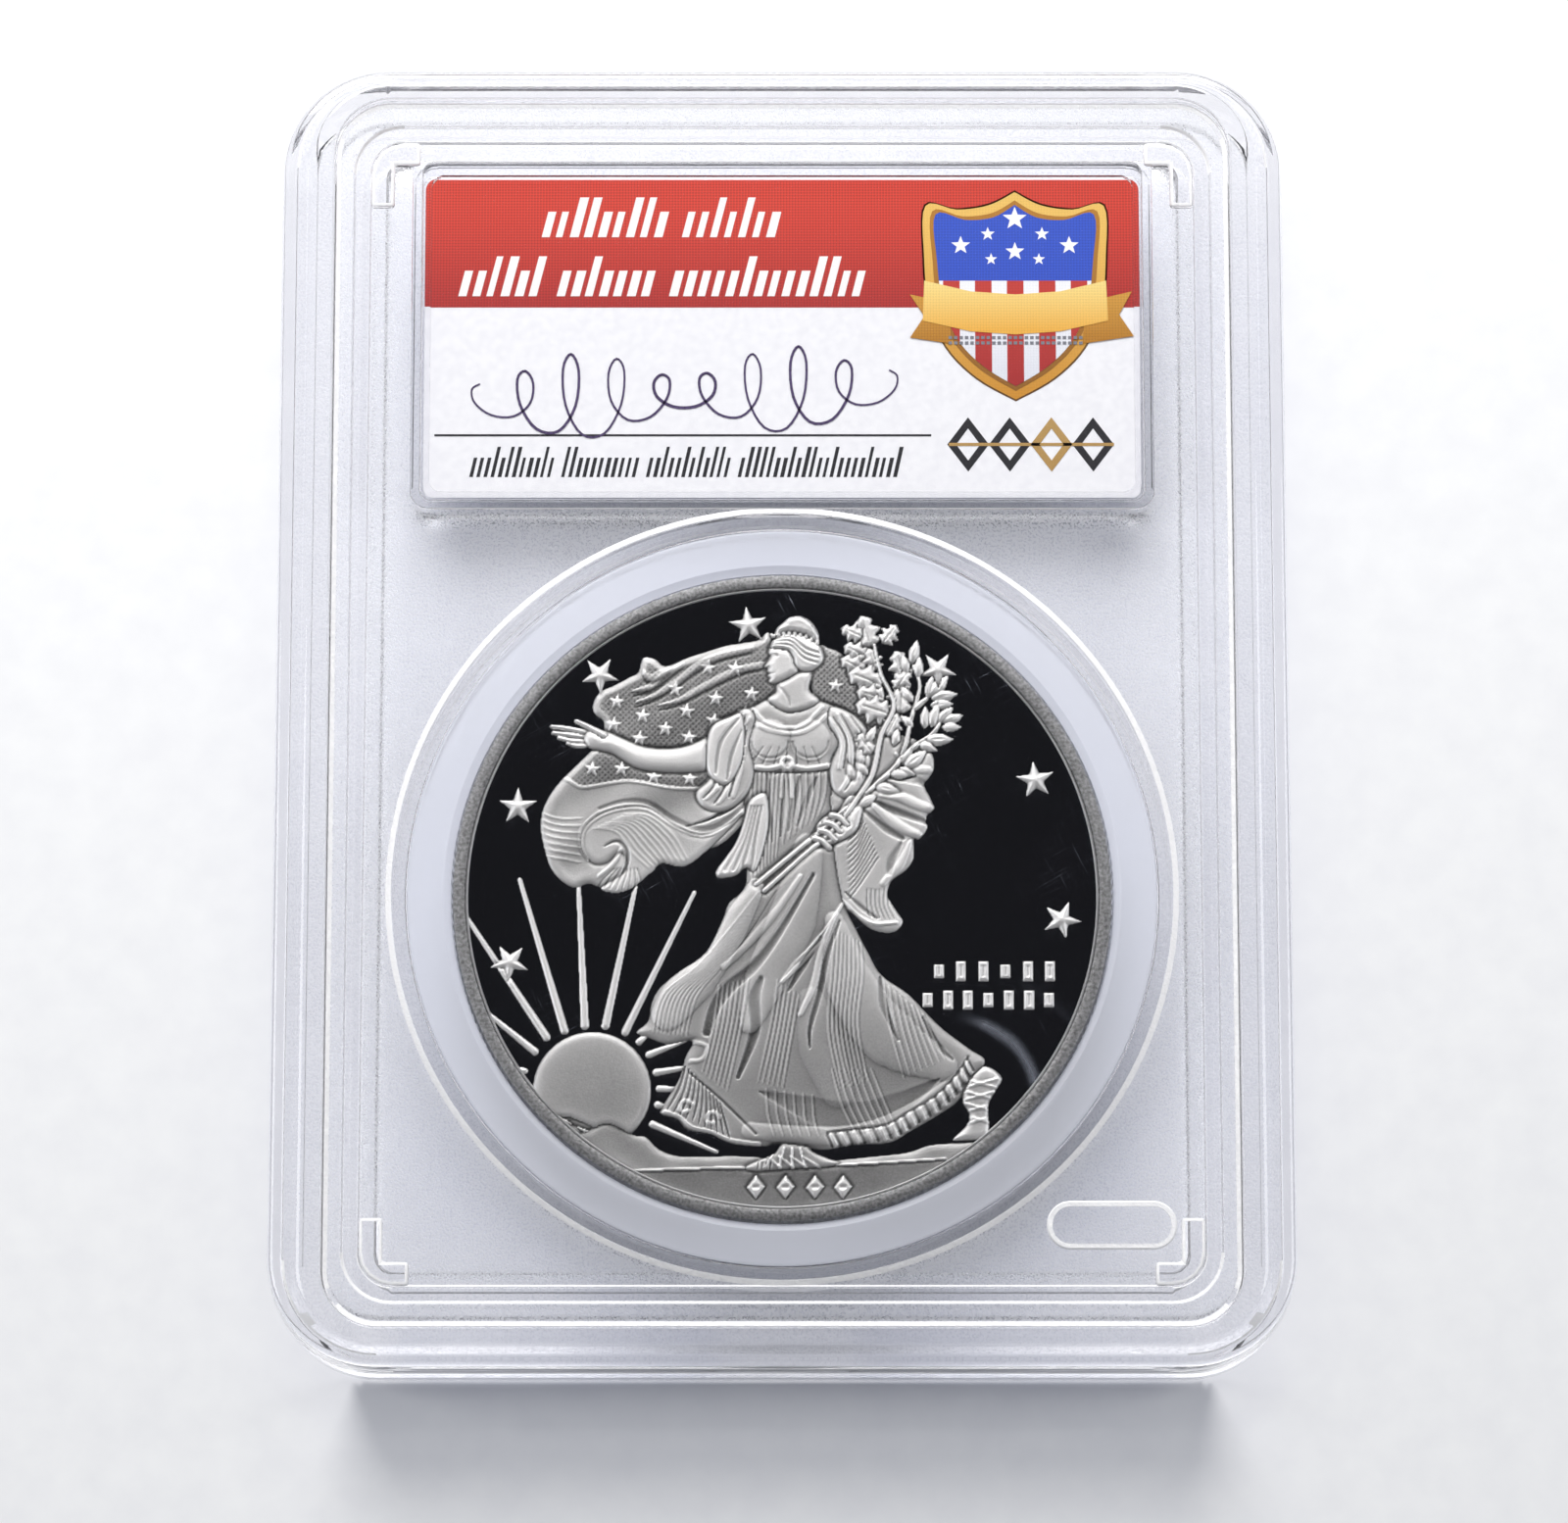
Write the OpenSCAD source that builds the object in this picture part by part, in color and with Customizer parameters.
// Graded coin slab: a welded two-part clear holder with a silver coin in a ring
// and a printed card. Millimetres, +Z up. The slab lies on its rear face with
// the card end toward +Y; the origin is the bottom centre of the whole slab.

/* [Slab outline] */
// Width of the closed slab
slab_w = 62.6; // [62:0.2:66]
// Length of the closed slab
slab_l = 82; // [81:0.5:86]
// Thickness over both rims
slab_t = 7.9; // [7.7:0.1:9]
// Radius of the outer corners seen from the front
corner_r = 6.7; // [5:0.1:8]

/* [Front rim and recess] */
// Inset of the raised rim from the long sides
rim_inset_x = 2.1; // [1.6:0.1:2.6]
// Inset of the raised rim from the short ends
rim_inset_y = 1.3; // [1:0.1:1.8]
// Height of the raised rim above the outer ledge
rim_h = 1; // [0.6:0.1:1.4]
// Width of the recessed panel
panel_w = 51.2; // [50.6:0.2:51.6]
// Length of the recessed panel
panel_l = 72; // [71.6:0.2:72.6]
// Depth of the frosted border below the rim
border_drop = 0.6; // [0.3:0.1:0.8]
// Depth of the panel below the rim
panel_drop = 1.2; // [1.1:0.05:1.3]

/* [Windows and inner ribs] */
// Radius of the round window
window_r = 23.9; // [23.8:0.05:24]
// Height of both windows above the panel
window_raise = 0.2; // [0.1:0.05:0.3]
// Wall of the ribs that hold the ring
rib_t = 0.75; // [0.6:0.05:0.8]
// Width of the card window
card_window_w = 46.2; // [46:0.1:46.6]

/* [Coin] */
// Coin diameter
coin_d = 40.6; // [40.2:0.1:40.7]
// Coin thickness over the rims
coin_t = 2.98; // [2.6:0.02:3]
// Distance of the coin centre below the slab centre
coin_drop = 11.7; // [11.6:0.05:11.8]
// Number of reeds on the coin edge
reed_count = 200; // [120:10:220]
// Depth of the mirror field below the coin rim
field_drop = 0.28; // [0.2:0.02:0.4]

/* [Card] */
// Card width
card_w = 44.8; // [43.8:0.1:44.8]
// Card length
card_l = 20.8; // [20.2:0.1:20.8]
// Card thickness
card_t = 0.3; // [0.2:0.05:0.4]

/* [Hidden] */

arc_fn = 96;
small_fn = 32;
cut = 0.05;

half_t = slab_t / 2;
seam_z = half_t;

// heights of the front half, measured from the weld seam
ledge_h = half_t - rim_h;
border_h = half_t - border_drop;
panel_h = half_t - panel_drop;
window_h = panel_h + window_raise;
roof_h = coin_t / 2 + 0.14;

rim_w = slab_w - 2 * rim_inset_x;
rim_l = slab_l - 2 * rim_inset_y;
rim_r = 4.9;
border_w = panel_w + 4.6;
border_l = panel_l + 5;
border_r = 3.2;
panel_r = 2;
hollow_inset = 0.8;

stack_gap = 0.2;
stack_drop = rim_h;

coin_y = -coin_drop;
coin_r = coin_d / 2;
ring_out_r = window_r - rib_t - 0.08;
ring_in_r = coin_r + 0.05;
ring_h = 2 * roof_h - 0.1;
ring_bevel = 0.45;

window_top_y = panel_l / 2;
window_low_y = 12.5;
card_window_l = window_top_y - window_low_y;
card_window_y = (window_top_y + window_low_y) / 2;
card_window_r = 1.2;
card_y = 24.1;
seat_gap = 0.15;
seat_depth = card_t + 0.02;
lip = 0.4;
lip_h = 0.6;
pocket_w = card_w + 2 * seat_gap;
pocket_l = card_l + 1.1;
seal_w = 20;
seal_l = 8;
seal_t = 0.1;

boss_arm = 4.1;
boss_foot = 3;
boss_w = 1.4;
boss_h = 0.55;

tongue_w = 0.7;
tongue_h = 0.5;
tongue_gap = 0.06;
tongue_inset = 3.2;

rim_face_w = 0.95;
dish_r = coin_r - rim_face_w;
dish_slope = 0.14;
reed_depth = 0.12;
device_h = field_drop - 0.04;

// Rounded rectangle with true arcs, centred on the origin.
module rounded_rect(w, l, r) {
    square([w - 2 * r, l], center = true);
    square([w, l - 2 * r], center = true);
    for (sx = [-1, 1]) {
        for (sy = [-1, 1]) {
            translate([sx * (w / 2 - r), sy * (l / 2 - r)])
                circle(r = r, $fn = arc_fn);
        }
    }
}

// Rounded block standing on height z0.
module rounded_block(w, l, r, z0, z1) {
    translate([0, 0, z0])
        linear_extrude(height = z1 - z0)
            rounded_rect(w, l, r);
}

// Rounded block centred on the card window.
module card_block(w, l, r, y, z0, z1) {
    translate([0, y, 0])
        rounded_block(w, l, r, z0, z1);
}

// Round block centred on the coin.
module coin_block(r, z0, z1) {
    translate([0, coin_y, z0])
        cylinder(r = r, h = z1 - z0, $fn = arc_fn);
}

// Perimeter wall and panel plate of one half, hollow behind the panel.
module half_plate(top_h) {
    difference() {
        rounded_block(slab_w, slab_l, corner_r, 0, top_h);
        difference() {
            rounded_block(
                panel_w - 2 * hollow_inset,
                panel_l - 2 * hollow_inset,
                panel_r - hollow_inset,
                -cut,
                roof_h
            );
            coin_block(window_r, -2 * cut, roof_h + cut);
            card_block(
                card_window_w,
                card_window_l,
                card_window_r,
                card_window_y,
                -2 * cut,
                roof_h + cut
            );
        }
        coin_block(window_r - rib_t, -cut, roof_h);
    }
}

// Round and card windows standing slightly above the panel.
module window_pads() {
    coin_block(window_r, panel_h - cut, window_h);
    card_block(
        card_window_w,
        card_window_l - 0.2,
        card_window_r,
        card_window_y - 0.1,
        panel_h - cut,
        window_h
    );
}

// One raised corner foot, drawn for the +X +Y corner of the panel.
module corner_boss() {
    translate([panel_w / 2 - boss_w, panel_l / 2 - boss_arm, panel_h - cut])
        cube([boss_w + cut, boss_arm - panel_r, boss_h + cut]);
    translate([panel_w / 2 - boss_foot, panel_l / 2 - boss_w, panel_h - cut])
        cube([boss_foot - panel_r, boss_w + cut, boss_h + cut]);
    translate([panel_w / 2 - panel_r, panel_l / 2 - panel_r, panel_h - cut])
        difference() {
            cylinder(r = panel_r + cut, h = boss_h + cut, $fn = arc_fn);
            translate([-2 * panel_r, -2 * panel_r, -cut])
                cube([2 * panel_r, 4 * panel_r, boss_h + 3 * cut]);
            translate([-2 * panel_r, -2 * panel_r, -cut])
                cube([4 * panel_r, 2 * panel_r, boss_h + 3 * cut]);
            translate([0, 0, -cut])
                cylinder(r = panel_r - boss_w, h = boss_h + 3 * cut, $fn = small_fn);
        }
}

// Corner feet in all four corners.
module corner_bosses() {
    for (sx = [0, 1]) {
        for (sy = [0, 1]) {
            mirror([sx, 0, 0])
                mirror([0, sy, 0])
                    corner_boss();
        }
    }
}

// Plain moulded oval outline in the lower right of the panel.
module moulded_mark() {
    translate([20, -32.3, panel_h - cut])
        linear_extrude(height = 0.1 + cut)
            difference() {
                rounded_rect(7.2, 2.8, 1.35);
                rounded_rect(6.6, 2.2, 1.05);
            }
}

module front_shell() {
    color([0.9, 0.91, 0.94, 0.35])
    translate([0, 0, seam_z])
    difference() {
        union() {
            difference() {
                union() {
                    half_plate(ledge_h);
                    difference() {
                        rounded_block(rim_w, rim_l, rim_r, ledge_h - cut, half_t);
                        rounded_block(panel_w, panel_l, panel_r, ledge_h - 2 * cut, half_t + cut);
                    }
                }
                rounded_block(border_w, border_l, border_r, border_h, half_t + cut);
                rounded_block(panel_w, panel_l, panel_r, panel_h, half_t + cut);
            }
            window_pads();
            corner_bosses();
            moulded_mark();
        }
        card_block(pocket_w, pocket_l, 0.8, card_window_y, lip_h, roof_h);
        card_block(card_w - 2 * lip, card_l - 2 * lip, 0.8, card_y, -cut, lip_h + cut);
        weld_groove();
    }
}

// Closed groove in the front seam that receives the weld tongue.
module weld_groove() {
    difference() {
        rounded_block(
            slab_w - 2 * tongue_inset + 2 * tongue_gap,
            slab_l - 2 * tongue_inset + 2 * tongue_gap,
            corner_r - tongue_inset + tongue_gap,
            -cut,
            tongue_h + tongue_gap
        );
        rounded_block(
            slab_w - 2 * (tongue_inset + tongue_w + tongue_gap),
            slab_l - 2 * (tongue_inset + tongue_w + tongue_gap),
            corner_r - tongue_inset - tongue_w - tongue_gap,
            -2 * cut,
            tongue_h + 2 * tongue_gap
        );
    }
}

// Weld tongue standing on the rear seam.
module weld_tongue() {
    difference() {
        rounded_block(
            slab_w - 2 * tongue_inset,
            slab_l - 2 * tongue_inset,
            corner_r - tongue_inset,
            -cut,
            tongue_h
        );
        rounded_block(
            slab_w - 2 * (tongue_inset + tongue_w),
            slab_l - 2 * (tongue_inset + tongue_w),
            corner_r - tongue_inset - tongue_w,
            -2 * cut,
            tongue_h + cut
        );
    }
}

module rear_shell() {
    color([0.88, 0.89, 0.93, 0.35])
    translate([0, 0, seam_z])
    union() {
        mirror([0, 0, 1])
        difference() {
            union() {
                difference() {
                    half_plate(half_t);
                    rounded_block(
                        rim_w + stack_gap,
                        rim_l + stack_gap,
                        rim_r + stack_gap / 2,
                        half_t - stack_drop,
                        half_t + cut
                    );
                    rounded_block(panel_w, panel_l, panel_r, panel_h, half_t + cut);
                }
                window_pads();
            }
            card_block(pocket_w, card_l + 2 * seat_gap, 0.8, card_y, -cut, seat_depth);
            card_block(card_w - 2 * lip, card_l - 2 * lip, 0.8, card_y, 0, roof_h);
        }
        weld_tongue();
    }
}

module coin_ring() {
    color([0.93, 0.94, 0.97, 0.5])
    translate([0, coin_y, seam_z])
        rotate_extrude($fn = arc_fn)
            polygon([
                [ring_in_r, -ring_h / 2 + ring_bevel],
                [ring_in_r + ring_bevel, -ring_h / 2],
                [ring_out_r, -ring_h / 2],
                [ring_out_r, ring_h / 2],
                [ring_in_r + ring_bevel, ring_h / 2],
                [ring_in_r, ring_h / 2 - ring_bevel]
            ]);
}

// Reeded outline: two corners per reed.
module reeded_outline() {
    polygon([
        for (i = [0 : 2 * reed_count - 1])
            let (a = i * 180 / reed_count)
            let (r = coin_r - (i % 2) * reed_depth)
            [r * cos(a), r * sin(a)]
    ]);
}

// Five pointed star with circumradius r.
module star(r) {
    polygon([
        for (i = [0 : 9])
            let (a = 90 + i * 36)
            let (q = (i % 2 == 0) ? r : r * 0.42)
            [q * cos(a), q * sin(a)]
    ]);
}

// Low sun with long rays beside the striding figure.
module sun_and_rays() {
    sun_x = -11.4;
    sun_y = -11.4;
    translate([sun_x, sun_y])
        circle(r = 3.5, $fn = small_fn);
    for (a = [30 : 20 : 130]) {
        translate([sun_x, sun_y])
            rotate(a)
                translate([4, -0.14])
                    square([a < 60 ? 3 : 7.2, 0.28]);
    }
}

// Plain draped figure: gown, bodice, arm, head and billowing cape.
module figure_outline() {
    polygon([
        [-7.4, -8.3], [-4.2, 3], [-3.4, 8.6], [-0.6, 11.4], [1.8, 11.2], [4.4, 9.4],
        [3.8, 3.4], [7.4, -3.6], [12.8, -10.6], [10.6, -14.4], [1.5, -16], [-6.4, -12.8]
    ]);
    polygon([[-2, 10.2], [-2, 7.9], [-12.6, 9.3], [-13.6, 10.6], [-12, 10.9]]);
    translate([0.7, 14.6])
        circle(r = 1.9, $fn = small_fn);
    translate([0.1, 10.6])
        square([1.5, 3]);
    polygon([[-11.4, 11.6], [-9.4, 15], [-2.9, 13.8], [-1.5, 9], [-2.5, 5], [-9.8, 2.2], [-13.9, 6]]);
    polygon([[2, 9], [8.8, 7.6], [9.4, 2.4], [7, -1.2], [2, 1.6]]);
}

// Raised stars that run round the rim in place of lettering.
module rim_stars() {
    for (a = [-5 : 33 : 193]) {
        rotate(a)
            translate([17.6, 0])
                rotate(-a)
                    star(0.95);
    }
}

// Ground line and the segment under it.
module ground_band() {
    intersection() {
        circle(r = dish_r - 0.5, $fn = arc_fn);
        translate([-dish_r, -16.9])
            square([2 * dish_r, 1.4]);
    }
}

// Everything raised on the front field.
module front_devices() {
    sun_and_rays();
    figure_outline();
    rim_stars();
    ground_band();
}

// Generic reverse: one large star inside a circle of small ones.
module rear_devices() {
    star(7);
    for (a = [0 : 30 : 330]) {
        rotate(a)
            translate([15.4, 0])
                star(1.1);
    }
}

module coin() {
    field_z = coin_t / 2 - field_drop;
    color([0.78, 0.78, 0.78])
    translate([0, coin_y, seam_z])
    union() {
        difference() {
            translate([0, 0, -coin_t / 2])
                linear_extrude(height = coin_t)
                    reeded_outline();
            translate([0, 0, field_z])
                cylinder(r1 = dish_r, r2 = dish_r + dish_slope, h = field_drop + cut, $fn = arc_fn);
            translate([0, 0, -field_z])
                mirror([0, 0, 1])
                    cylinder(r1 = dish_r, r2 = dish_r + dish_slope, h = field_drop + cut, $fn = arc_fn);
        }
        translate([0, 0, field_z - cut])
            linear_extrude(height = device_h + cut)
                front_devices();
        translate([0, 0, -field_z + cut])
            mirror([0, 0, 1])
                linear_extrude(height = device_h + cut)
                    rear_devices();
    }
}

module label_card() {
    color([0.96, 0.95, 0.95])
    translate([0, card_y, seam_z - 0.01 - card_t])
        linear_extrude(height = card_t)
            rounded_rect(card_w, card_l, 0.7);
}

module security_seal() {
    color([0.75, 0.78, 0.82])
    translate([0, card_y, seam_z - 0.01 - card_t - seal_t])
        linear_extrude(height = seal_t)
            rounded_rect(seal_w, seal_l, 1.2);
}

rear_shell();
front_shell();
coin_ring();
coin();
label_card();
security_seal();
